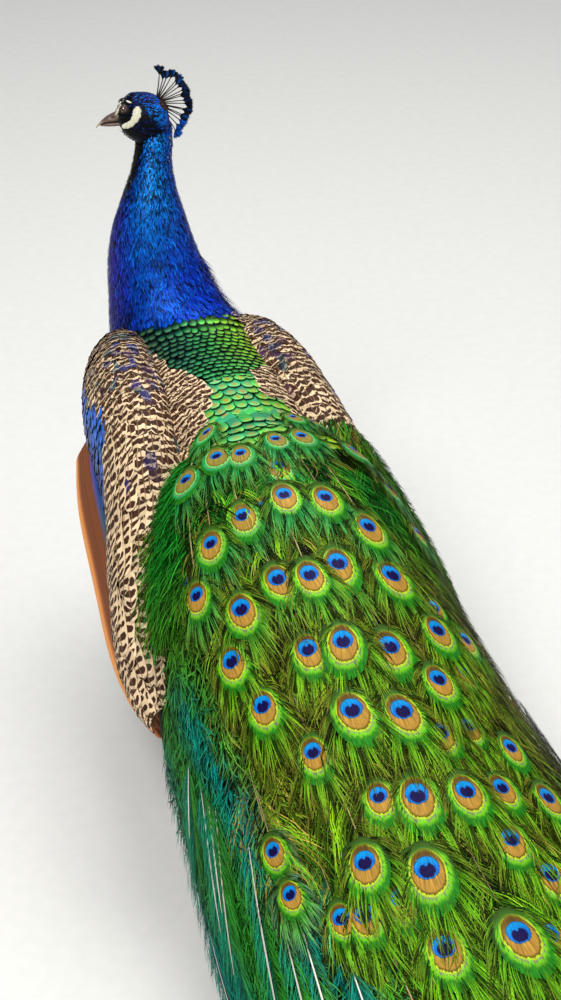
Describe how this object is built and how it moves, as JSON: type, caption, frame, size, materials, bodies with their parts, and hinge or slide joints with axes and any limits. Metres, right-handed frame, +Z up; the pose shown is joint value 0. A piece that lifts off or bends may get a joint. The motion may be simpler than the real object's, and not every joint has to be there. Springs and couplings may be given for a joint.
{
  "type": "standing peacock",
  "caption": "Life-size peacock, standing, its head turned to its left, with a fan crest, folded wings and a long train of eyed feathers that slopes down its back to the floor.",
  "frame": {"origin": "on the floor, at the middle of the bounding box's foot", "axes": "+Z up, the bird faces -Y, its own left side is +X and the train runs towards +Y"},
  "size_m": [0.553, 1.7228, 0.7473],
  "materials": {
    "blue_plumage": "silky, deep cobalt blue with a violet and cyan sheen",
    "barred_plumage": "soft feather vanes, cream with dark brown bars",
    "orange_quills": "smooth rufous orange flight feathers",
    "train_plumage": "loose green barbs with blue and bronze eyes",
    "brown_quills": "plain brown tail feathers",
    "thigh_plumage": "soft buff feathers",
    "crest_plumage": "bare shafts with glossy blue black tips",
    "bill_horn": "smooth horn",
    "eye": "wet, dark brown",
    "leg_scales": "dry grey brown scutes",
    "claw_horn": "smooth dark horn"
  },
  "bodies": {
    "root": {"trunk": "blue_plumage", "neck_lower": "blue_plumage", "neck_upper": "blue_plumage", "head": "blue_plumage", "bill_upper": "bill_horn", "bill_lower": "bill_horn", "eye_left": "eye", "eye_right": "eye", "crest": "crest_plumage", "train_base": "train_plumage", "train_middle": "train_plumage", "train_end": "train_plumage", "tail_quills": "brown_quills", "wing_left": "barred_plumage", "primaries_left": "orange_quills", "thigh_left": "thigh_plumage", "shank_left": "leg_scales", "spur_left": "claw_horn", "toe_inner_left": "leg_scales", "claw_inner_left": "claw_horn", "toe_middle_left": "leg_scales", "claw_middle_left": "claw_horn", "toe_outer_left": "leg_scales", "claw_outer_left": "claw_horn", "toe_hind_left": "leg_scales", "claw_hind_left": "claw_horn", "wing_right": "barred_plumage", "primaries_right": "orange_quills", "thigh_right": "thigh_plumage", "shank_right": "leg_scales", "spur_right": "claw_horn", "toe_inner_right": "leg_scales", "claw_inner_right": "claw_horn", "toe_middle_right": "leg_scales", "claw_middle_right": "claw_horn", "toe_outer_right": "leg_scales", "claw_outer_right": "claw_horn", "toe_hind_right": "leg_scales", "claw_hind_right": "claw_horn"}
  },
  "joints": []
}
